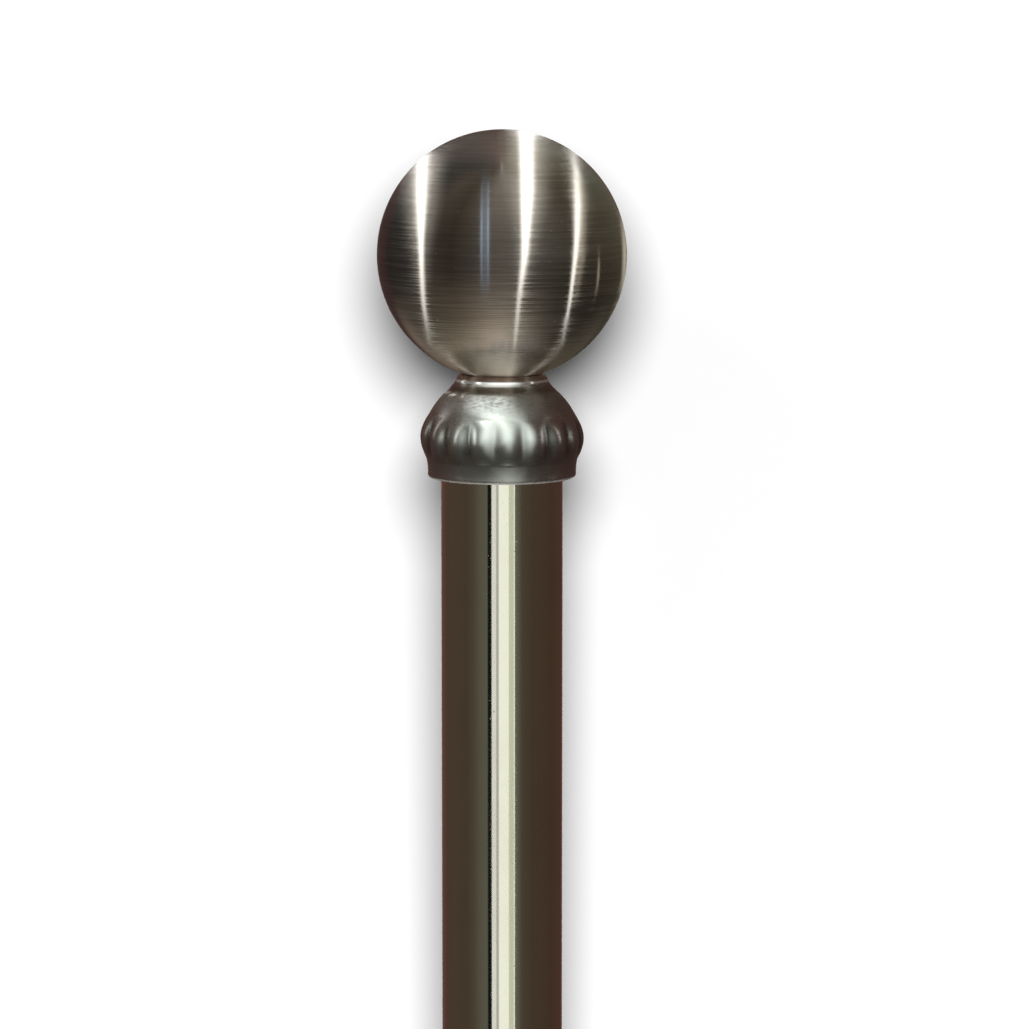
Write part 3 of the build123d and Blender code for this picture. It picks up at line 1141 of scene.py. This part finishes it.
def glow(name: str, see_through: bool) -> bpy.types.Material:
    """An emitting material that takes its colour from the mesh's attribute named shine.

    Args:
        name: the material's name.
        see_through: whether it adds its light to what lies behind it, or hides that.

    Returns:
        The material.
    """
    material, tree = bare_material(name)
    shader = tree.add("ShaderNodeEmission")
    tree.feed(shader.inputs["Color"], tree.add("ShaderNodeAttribute", attribute_name="shine").outputs["Color"])
    surface = shader.outputs[0]
    if see_through:
        both = tree.add("ShaderNodeAddShader")
        tree.feed(both.inputs[0], surface)
        tree.feed(both.inputs[1], tree.add("ShaderNodeBsdfTransparent").outputs[0])
        surface = both.outputs[0]
    out = tree.add("ShaderNodeOutputMaterial")
    tree.feed(out.inputs["Surface"], surface)
    material.cycles.emission_sampling = "FRONT_BACK" if see_through else "NONE"
    return material


def only_in_reflections(thing: bpy.types.Object) -> None:
    """Marks a studio piece that only polished metal sees, so that it tints nothing else."""
    thing.visible_camera = False
    thing.visible_diffuse = False
    thing.visible_shadow = False
    thing.visible_volume_scatter = False


def light_up(thing: bpy.types.Object, shine: np.ndarray, lit: Lit | None) -> None:
    """Makes a studio sheet glow by its own colour at each point.

    Args:
        thing: the sheet.
        shine: red, green and blue for each of its points.
        lit: the pieces that it lights; without any it hides what lies behind it and shows in all.
    """
    attribute = thing.data.attributes.new("shine", "FLOAT_COLOR", "POINT")
    colours = np.concatenate([shine.reshape(-1, 3), np.ones((shine.size // 3, 1))], axis=1)
    attribute.data.foreach_set("color", colours.astype(np.float32).ravel())
    thing.data.materials.append(glow(thing.name, lit is not None))
    only_in_reflections(thing)
    if lit is not None:
        thing.light_linking.receiver_collection = receivers[lit]


@dataclass(frozen=True)
class Card:
    """A glowing card on a ball round the pole's top.

    Its colour at a bearing and an elevation, in degrees, is a product of two broken lines: across
    gives rows of bearing, red, green and blue, and up gives pairs of elevation and share.
    """

    name: str
    across: tuple
    up: tuple
    lit: Lit | None
    reach: float = 3.0

    def build(self, height: float) -> None:
        """Makes the card round the ball's centre, each point (r sin b cos e, -r cos b cos e, r sin e)."""
        across, up = np.array(self.across, float), np.array(self.up, float)
        columns = max(3, int(across[-1, 0] - across[0, 0]) + 1)
        rows = max(3, int(up[-1, 0] - up[0, 0]) // 2 + 1)
        degrees = np.linspace(across[0, 0], across[-1, 0], columns)
        rise = np.linspace(up[0, 0], up[-1, 0], rows)
        tint = np.stack([np.interp(degrees, across[:, 0], across[:, k]) for k in (1, 2, 3)], axis=-1)
        shine = np.interp(rise, *up.T)[:, None, None] * tint[None, :, :]
        b, e = np.radians(degrees)[None, :], np.radians(rise)[:, None]
        points = self.reach * np.stack([np.sin(b) * np.cos(e), -np.cos(b) * np.cos(e), np.sin(e) + 0 * b], axis=-1)
        light_up(sheet_of(self.name, points + np.array([0.0, 0.0, height])), shine, self.lit)


def sheet_of(name: str, points: np.ndarray) -> bpy.types.Object:
    """An open sheet from a grid of points.

    Args:
        name: its name.
        points: rows by columns by 3.

    Returns:
        The object.
    """
    rows, columns, _ = points.shape
    index = np.arange(rows * columns).reshape(rows, columns)
    quads = np.stack([index[:-1, :-1], index[:-1, 1:], index[1:, 1:], index[1:, :-1]], axis=-1)
    return mesh_object(name, points.reshape(-1, 3), quads.reshape(-1, 4).tolist())


@dataclass(frozen=True)
class Ribbon:
    """A strip lamp, laid out by the line that it draws on the ball as the photograph shows it.

    Each stop of the line is right, up, width and brightness, the first three in shares of the
    ball's radius from its centre, from the top down.
    """

    name: str
    stops: tuple
    colour: tuple

    def build(self, height: float, reach: float, tilt: float) -> None:
        """Makes the strip where the mirrored line of sight goes, brightest along its middle.

        At a point (x, y) of the ball's picture the surface faces n = (x, -sqrt(1 - x*x - y*y), y),
        and the line of sight v leaves along 2 (n.v) n - v. That is turned down by the camera's
        tilt, and the strip stands there at the given reach. Its brightness falls to both sides as
        the square of a cosine.
        """
        stops = np.array(self.stops)[::-1]
        y = np.linspace(stops[0, 1], stops[-1, 1], 81)
        x, width, level = (np.interp(y, stops[:, 1], stops[:, k]) for k in (0, 2, 3))
        across = np.linspace(-0.5, 0.5, 9)
        xs = x[:, None] + 2 * width[:, None] * across[None, :]
        ys = np.broadcast_to(y[:, None], xs.shape)
        depth = np.sqrt(np.clip(1 - xs**2 - ys**2, 0.0, 1.0))
        side, ahead, up = 2 * depth * xs, 1 - 2 * depth**2, 2 * depth * ys
        c, s = math.cos(tilt), math.sin(tilt)
        towards = np.stack([side, ahead * c + up * s, up * c - ahead * s], axis=-1)
        shine = level[:, None] * np.cos(np.pi * across)[None, :] ** 2
        colours = shine[..., None] * np.array(self.colour)
        light_up(sheet_of(self.name, reach * towards + np.array([0.0, 0.0, height])), colours, Lit.BALL)


def area_lamp(name: str, shape: str, size: float, energy: float, spot: Vector, way: Vector) -> bpy.types.Object:
    """Hangs a soft lamp that metal does not mirror.

    Args:
        name: its name.
        shape: Blender's name for its outline.
        size: how wide it is, in metres.
        energy: its power, in watts.
        spot: where it hangs.
        way: which way it shines.

    Returns:
        The lamp.
    """
    data = bpy.data.lights.new(name, "AREA")
    data.shape, data.size, data.energy = shape, size, energy
    lamp = bpy.data.objects.new(name, data)
    lamp.location = spot
    lamp.rotation_mode = "QUATERNION"
    lamp.rotation_quaternion = way.to_track_quat("-Z", "Y")
    lamp.visible_glossy = False
    bpy.context.scene.collection.objects.link(lamp)
    return lamp


@dataclass
class Studio:
    """Floor, backdrop, soft lamps, and the dark tent with its lit cards for the metal."""

    ball_height: float
    tilt: float = math.radians(3.8)
    strip_reach: float = 1.9
    floor_reach: float = 40.0
    wall_back: float = 0.115
    lamp_reach: float = 1.15
    lamp_rise: float = 0.22
    lamp_size: float = 0.31
    lamp_aside: float = 0.006
    lamp_level: float = 1.02
    lamp_loss: float = 1.1
    board_paint: float = 0.08
    floor_level: float = -0.0004
    shade_level: float = 0.012
    cards: tuple = (
        Card("tent", ((-180, 0.006, 0.006, 0.006), (180, 0.006, 0.006, 0.006)), ((-89, 1), (89, 1)), None, 3.4),
        Card(
            "tube_surroundings",
            (
                (-180, 0.15, 0.135, 0.12), (-166, 0.15, 0.13, 0.115), (-150, 0.125, 0.09, 0.075), (-130, 0.09, 0.06, 0.04),
                (-70, 0.08, 0.055, 0.035), (-55, 0.095, 0.075, 0.05), (-40, 0.13, 0.12, 0.08),
                (-28, 0.135, 0.135, 0.095), (-26, 0.002, 0.002, 0.002), (-20.3, 0.002, 0.002, 0.002),
                (-19, 0.195, 0.195, 0.175), (24.5, 0.175, 0.175, 0.135), (30, 0.145, 0.135, 0.095),
                (38, 0.085, 0.07, 0.045), (60, 0.075, 0.05, 0.032), (110, 0.07, 0.04, 0.023),
                (150, 0.085, 0.055, 0.042), (166, 0.13, 0.11, 0.098), (180, 0.15, 0.135, 0.12),
            ),
            ((-89, 0.5), (-50, 1.0), (0, 1.0), (30, 0.7), (89, 1.4)),
            Lit.POLE,
            3.1,
        ),
        Card(
            "foot_surroundings",
            (
                (-180, 0.24, 0.235, 0.22), (-60, 0.3, 0.3, 0.29), (0, 0.5, 0.5, 0.49),
                (90, 0.22, 0.22, 0.21), (180, 0.24, 0.235, 0.22),
            ),
            ((-89, 0.6), (0, 0.9), (40, 1.2), (89, 1.5)),
            Lit.FOOT,
            3.05,
        ),
        Card(
            "window_back",
            ((171.5, 0, 0, 0), (174, 0.8, 0.82, 0.76), (183, 0.8, 0.82, 0.76), (185.5, 0, 0, 0)),
            ((-70, 1), (-5, 1), (30, 0.6)),
            Lit.POLE,
        ),
        *(
            Card(f"window_{name}", ((left, *tone), (right, *tone)), ((-40, 1), (-5, 1)), Lit.POLE)
            for name, left, right, tone in (
                ("left", -19.3, -10.8, (0.85, 0.85, 0.78)),
                ("gap", -10.8, -6.1, (0.4, 0.4, 0.36)),
                ("middle", -6.1, 12.9, (1.1, 1.14, 0.98)),
                ("right", 12.9, 22.4, (0.62, 0.66, 0.5)),
                ("edge", 22.4, 24.3, (1.1, 1.1, 1.0)),
            )
        ),
        Card(
            "collar_surroundings",
            (
                (-180, 0.1, 0.05, 0.042), (-144, 0.08, 0.042, 0.035), (-120, 0.07, 0.042, 0.034),
                (-90, 0.078, 0.056, 0.045), (-60, 0.088, 0.08, 0.068), (0, 0.09, 0.092, 0.08),
                (45, 0.065, 0.054, 0.043), (84, 0.056, 0.034, 0.026), (114, 0.055, 0.027, 0.021),
                (150, 0.055, 0.029, 0.023), (180, 0.1, 0.05, 0.042),
            ),
            ((-89, 0.4), (-45, 0.5), (-25, 0.7), (0, 1.0), (89, 1.4)),
            Lit.COLLAR,
            3.2,
        ),
        Card(
            "collar_front",
            (
                (-52, 0, 0, 0), (-44, 0.16, 0.18, 0.17), (-33, 0.62, 0.69, 0.65),
                (-15, 1.4, 1.57, 1.48), (5, 1.5, 1.68, 1.6), (22, 1.35, 1.51, 1.43), (36, 0.75, 0.84, 0.8),
                (48, 0.2, 0.22, 0.21), (60, 0, 0, 0),
            ),
            ((-14, 0.0), (-4, 0.2), (4, 0.5), (18, 0.85), (32, 0.85), (48, 0.92), (60, 0.5), (75, 0.4)),
            Lit.COLLAR,
            1.0,
        ),
        Card(
            "collar_top",
            ((-125, 0, 0, 0), (-90, 2.6, 2.9, 2.75), (-25, 4.5, 5.0, 4.75), (-5, 2.8, 3.1, 2.95), (12, 0, 0, 0)),
            ((49, 0), (57, 0.6), (63, 1), (75, 1), (85, 0)),
            Lit.COLLAR,
            1.25,
        ),
        Card(
            "collar_low",
            ((-20, 0, 0, 0), (-8, 0.3, 0.33, 0.31), (6, 0.95, 1.04, 0.98), (24, 0.7, 0.76, 0.7), (36, 0, 0, 0)),
            ((-46, 0.0), (-34, 0.1), (-22, 0.3), (-12, 0.5), (-4, 0.4), (6, 0.0)),
            Lit.COLLAR,
            1.05,
        ),
        Card(
            "collar_rim",
            (
                (-130, 0.2, 0.2, 0.18), (-60, 0.9, 0.9, 0.82), (-25, 1.6, 1.66, 1.56), (0, 2.6, 2.7, 2.5),
                (25, 2.0, 2.06, 1.9), (60, 0.9, 0.88, 0.8), (130, 0.2, 0.2, 0.18),
            ),
            ((-83, 1.3), (-77, 1.2), (-71, 0.0)),
            Lit.COLLAR,
            1.7,
        ),
        Card(
            "collar_pane",
            ((-71, 0, 0, 0), (-66, 2.0, 2.2, 2.07), (-60, 2.0, 2.2, 2.07), (-55, 0, 0, 0)),
            ((-6, 0), (4, 0.8), (20, 1), (30, 0.8), (42, 0)),
            Lit.COLLAR,
            1.15,
        ),
        Card(
            "collar_left",
            ((-122, 0, 0, 0), (-119, 1.1, 1.15, 1.1), (-116, 1.1, 1.15, 1.1), (-113, 0, 0, 0)),
            ((-2, 0), (8, 1), (26, 1), (38, 0)),
            Lit.COLLAR,
            1.2,
        ),
        Card(
            "collar_right",
            ((81, 0, 0, 0), (84, 1.5, 1.55, 1.45), (86, 1.5, 1.55, 1.45), (89, 0, 0, 0)),
            ((-8, 0), (2, 1), (20, 1), (34, 0)),
            Lit.COLLAR,
            1.2,
        ),
        Card(
            "ball_surroundings_left",
            (
                (-180, 0.09, 0.05, 0.04), (-154, 0.055, 0.03, 0.028), (-140, 0.048, 0.026, 0.025),
                (-128, 0.026, 0.02, 0.018), (-110, 0.024, 0.022, 0.02), (-90, 0.036, 0.031, 0.027),
                (-75, 0.05, 0.042, 0.034), (-60, 0.042, 0.034, 0.026), (-48, 0.035, 0.027, 0.02),
                (-30, 0.06, 0.052, 0.042), (-10, 0.112, 0.098, 0.086), (5, 0.122, 0.112, 0.098), (12, 0.12, 0.11, 0.097),
                (30, 0, 0, 0),
            ),
            ((-89, 0.75), (-30, 0.85), (0, 1.0), (20, 1.05), (38, 1.55), (60, 2.0), (89, 2.4)),
            Lit.BALL,
            3.3,
        ),
        Card(
            "ball_surroundings_right",
            (
                (12, 0.0, 0.0, 0.0), (30, 0.135, 0.125, 0.11), (38, 0.11, 0.1, 0.088), (45, 0.095, 0.086, 0.073),
                (60, 0.075, 0.065, 0.052), (85, 0.054, 0.044, 0.032), (105, 0.07, 0.058, 0.04),
                (130, 0.085, 0.075, 0.052), (160, 0.12, 0.1, 0.072), (180, 0.09, 0.05, 0.04),
            ),
            ((-89, 0.4), (-45, 0.24), (-28, 0.26), (-10, 0.58), (5, 1.0), (20, 1.0), (89, 2.0)),
            Lit.BALL,
            3.25,
        ),
        Card(
            "ball_high",
            (
                (120, 0, 0, 0), (145, 0.01, 0.03, 0.028), (190, 0.02, 0.05, 0.047),
                (225, 0.02, 0.04, 0.038), (250, 0, 0, 0),
            ),
            ((8, 0), (22, 0.7), (50, 1), (84, 1), (89, 0.5)),
            Lit.BALL,
            3.15,
        ),
        Card(
            "ball_low",
            (
                (-180, 0.9, 0.79, 0.61), (-164, 1.2, 1.04, 0.81), (-150, 1.0, 0.87, 0.68),
                (-131, 0.5, 0.43, 0.33), (-120, 0.38, 0.33, 0.25), (-73, 0.25, 0.2, 0.15),
                (-30, 0.45, 0.37, 0.3), (0, 0.5, 0.42, 0.34), (30, 0.35, 0.3, 0.24), (60, 0.15, 0.13, 0.1),
                (100, 0.07, 0.06, 0.05), (116, 0.06, 0.05, 0.04), (136, 0.24, 0.21, 0.16), (146, 0.3, 0.26, 0.2),
                (163, 0.46, 0.4, 0.31), (180, 0.9, 0.79, 0.61),
            ),
            ((-83, 0.9), (-70, 0.85), (-62, 0.6), (-50, 0.37), (-40, 0.2), (-27, 0.16), (-18, 0.0)),
            Lit.BALL,
            1.85,
        ),
    )
    ribbons: tuple = (
        Ribbon(
            "strip_left",
            (
                (-0.635, 0.768, 0.055, 4.0), (-0.632, 0.44, 0.055, 4.0), (-0.63, 0.05, 0.034, 2.2),
                (-0.617, -0.36, 0.026, 1.6), (-0.575, -0.72, 0.015, 0.5),
            ),
            (1.0, 0.99, 0.97),
        ),
        Ribbon(
            "halo_left",
            ((-0.61, 0.785, 0.2, 0.5), (-0.63, 0.44, 0.2, 0.5), (-0.635, 0.0, 0.11, 0.2), (-0.62, -0.3, 0.1, 0.0)),
            (1.0, 0.96, 0.9),
        ),
        Ribbon(
            "strip_middle",
            (
                (0.192, 0.985, 0.078, 3.4), (0.198, 0.5, 0.074, 3.6), (0.18, 0.0, 0.042, 2.5),
                (0.132, -0.36, 0.026, 1.35), (0.1, -0.72, 0.02, 0.4),
            ),
            (1.0, 0.995, 0.98),
        ),
        Ribbon(
            "halo_middle",
            ((0.2, 0.985, 0.26, 0.45), (0.21, 0.44, 0.2, 0.5), (0.19, 0.1, 0.13, 0.2), (0.15, -0.25, 0.1, 0.0)),
            (1.0, 0.96, 0.9),
        ),
        Ribbon(
            "strip_right",
            (
                (0.56, 0.83, 0.022, 2.4), (0.588, 0.64, 0.033, 3.0), (0.593, 0.4, 0.038, 3.0),
                (0.588, 0.16, 0.033, 2.6), (0.577, 0.0, 0.027, 2.7), (0.534, -0.36, 0.019, 1.8),
                (0.47, -0.74, 0.015, 0.5),
            ),
            (1.0, 0.99, 0.96),
        ),
        Ribbon(
            "halo_right",
            ((0.61, 0.62, 0.05, 0.1), (0.625, 0.44, 0.06, 0.4), (0.622, 0.0, 0.05, 0.35), (0.575, -0.36, 0.03, 0.1)),
            (1.0, 0.9, 0.72),
        ),
        Ribbon(
            "faint_band",
            ((-0.13, 0.62, 0.055, 0.05), (-0.13, 0.2, 0.055, 0.26), (-0.13, -0.3, 0.055, 0.06)),
            (0.42, 0.62, 1.0),
        ),
        Ribbon(
            "faint_1",
            ((-0.157, 0.55, 0.01, 0.1), (-0.157, 0.2, 0.01, 0.7), (-0.157, -0.25, 0.01, 0.1)),
            (0.6, 0.78, 1.0),
        ),
        Ribbon(
            "faint_2",
            ((-0.106, 0.55, 0.01, 0.2), (-0.106, 0.2, 0.01, 0.7), (-0.106, -0.25, 0.01, 0.1)),
            (0.6, 0.78, 1.0),
        ),
        Ribbon(
            "short_right",
            ((0.764, -0.02, 0.01, 0.1), (0.76, -0.12, 0.012, 0.7), (0.75, -0.28, 0.01, 0.4)),
            (1.0, 0.9, 0.72),
        ),
        Ribbon(
            "edge_right",
            ((0.965, 0.3, 0.03, 0.3), (0.975, 0.0, 0.03, 0.5), (0.965, -0.3, 0.03, 0.3)),
            (1.0, 0.95, 0.78),
        ),
    )

    def world(self) -> None:
        """White for the camera and in reflections, and a plain soft light for all else."""
        world = bpy.data.worlds.new("surroundings")
        bpy.context.scene.world = world
        world.use_nodes = True
        world.node_tree.nodes.clear()
        tree = Tree(world.node_tree)
        path = tree.add("ShaderNodeLightPath")
        seen = tree.larger(path.outputs["Is Camera Ray"], path.outputs["Is Glossy Ray"])
        seen = tree.larger(seen, path.outputs["Is Transmission Ray"])
        sky = tree.add("ShaderNodeBackground")
        sky.inputs["Color"].default_value = (1.0, 1.0, 1.0, 1.0)
        tree.feed(sky.inputs["Strength"], tree.spread(seen, 0.0, 1.0, 0.75, 1.0))
        out = tree.add("ShaderNodeOutputWorld")
        tree.feed(out.inputs["Surface"], sky.outputs[0])

    def one_sided(self, name: str, matt: tuple, glowing: float) -> tuple:
        """A matt and glowing material that is clear from behind.

        Args:
            name: the material's name.
            matt: colour of its matt part.
            glowing: strength of its plain white part.

        Returns:
            The material, its Tree, its paint, and the mix of paint and glow, whose share is the
            first input.
        """
        material, tree = bare_material(name)
        paint = tree.add("ShaderNodeBsdfDiffuse")
        paint.inputs["Color"].default_value = (*matt, 1.0)
        white = tree.add("ShaderNodeEmission")
        white.inputs["Strength"].default_value = glowing
        mix = tree.add("ShaderNodeMixShader")
        tree.feed(mix.inputs[1], paint.outputs[0])
        tree.feed(mix.inputs[2], white.outputs[0])
        clear = tree.add("ShaderNodeMixShader")
        tree.feed(clear.inputs[0], tree.add("ShaderNodeNewGeometry").outputs["Backfacing"])
        tree.feed(clear.inputs[1], mix.outputs[0])
        tree.feed(clear.inputs[2], tree.add("ShaderNodeBsdfTransparent").outputs[0])
        out = tree.add("ShaderNodeOutputMaterial")
        tree.feed(out.inputs["Surface"], clear.outputs[0])
        material.cycles.emission_sampling = "NONE"
        return material, tree, paint, mix

    def floor(self) -> None:
        """A pale round floor that fades to plain white away from the pole and keeps its shadow."""
        rings = np.array([0.0005, 0.5, 1.0, 2.0, 4.0, 10.0, self.floor_reach])
        profile = np.stack([rings, np.full(len(rings), self.floor_level)], axis=-1)
        thing = skin("floor", turned(profile, 96)[::-1], Seam.OPEN)
        material, tree, _, mix = self.one_sided("floor_pale", (0.9, 0.9, 0.9), 1.0)
        x, y, _ = tree.split(tree.place())
        away = tree.math("SQRT", tree.plus(tree.times(x, x), tree.times(y, y)))
        tree.feed(mix.inputs[0], tree.rise(away, 0.6, 3.2))
        thing.data.materials.append(material)

    def backdrop(self) -> None:
        """A white board close behind the pole that takes its soft shadow, seen only from the front."""
        x = np.linspace(-4.0, 4.0, 9)
        z = np.linspace(0.0, 7.0, 8)
        xs, zs = np.meshgrid(x, z)
        points = np.stack([xs, np.full_like(xs, self.wall_back), zs], axis=-1)
        thing = sheet_of("backdrop", points)
        material, tree, paint, mix = self.one_sided("board_white", (self.board_paint,) * 3, 1.0)
        x, _, z = tree.split(tree.place((0.0, 0.0, -self.ball_height)))
        tree.feed(mix.inputs[0], tree.fall(z, -0.62, -0.42))
        z = tree.math("SUBTRACT", z, self.lamp_rise)
        away = tree.plus(tree.times(x, x), tree.times(z, z))
        gain = tree.math("POWER", tree.plus(tree.math("DIVIDE", away, self.lamp_reach**2), 1.0), 2.0)
        grey = tree.times(gain, self.board_paint, clamp=True)
        tree.feed(paint.inputs["Color"], tree.combine(grey, grey, grey))
        thing.data.materials.append(material)
        thing.visible_glossy = False
        thing.visible_diffuse = False
        thing.visible_shadow = False
        seen = bpy.data.collections.new("lit_board")
        seen.objects.link(thing)
        energy = self.lamp_level * math.pi**2 * self.lamp_reach**2 * (1 / self.board_paint - self.lamp_loss)
        spot = Vector((self.lamp_aside, self.wall_back - self.lamp_reach, self.ball_height + self.lamp_rise))
        lamp = area_lamp("board_lamp", "DISK", self.lamp_size, energy, spot, Vector((0.0, 1.0, 0.0)))
        lamp.light_linking.receiver_collection = seen

    def shade(self) -> None:
        """A grey cloth on the floor, darker outwards, in place of the pale floor in the metal.

        It reaches the tent's wall, and its glow falls along a broken line of radius and share.
        """
        rings, shares = np.array(
            [(0.16, 0.42), (0.4, 0.3), (0.8, 0.18), (1.2, 0.11), (1.45, 0.045), (1.71, 0.03)]
        ).T
        profile = np.stack([rings, np.full(len(rings), self.shade_level)], axis=-1)
        points = turned(profile, 64)
        thing = skin("shade", points[::-1], Seam.OPEN)
        shine = np.broadcast_to(shares[::-1, None, None] * np.array([1.0, 0.97, 0.92]), points.shape)
        light_up(thing, shine, None)

    def key(self) -> None:
        """A broad soft lamp from the upper left, which gives the floor its shadow."""
        spot = Vector((-2.6, -3.2, 5.5))
        area_lamp("key", "SQUARE", 0.9, 160.0, spot, Vector((0.0, 0.0, 0.6)) - spot)

    def build(self) -> None:
        """Sets up the whole studio."""
        self.world()
        self.floor()
        self.backdrop()
        self.shade()
        self.key()
        for card in self.cards:
            card.build(self.ball_height)
        for ribbon in self.ribbons:
            ribbon.build(self.ball_height, self.strip_reach, self.tilt)


def main() -> None:
    """Builds the pole from the top down, then the studio."""
    logging.basicConfig(level=logging.INFO, format="%(message)s")
    bpy.context.scene.view_settings.view_transform = "Standard"
    ball = Ball()
    PhotoCamera().place(ball.centre)
    ball.build()
    Collar().build()
    Tube().build()
    HiddenFixings().build()
    Foot().build()
    Studio(ball.centre).build()


if __name__ == "__main__":
    main()
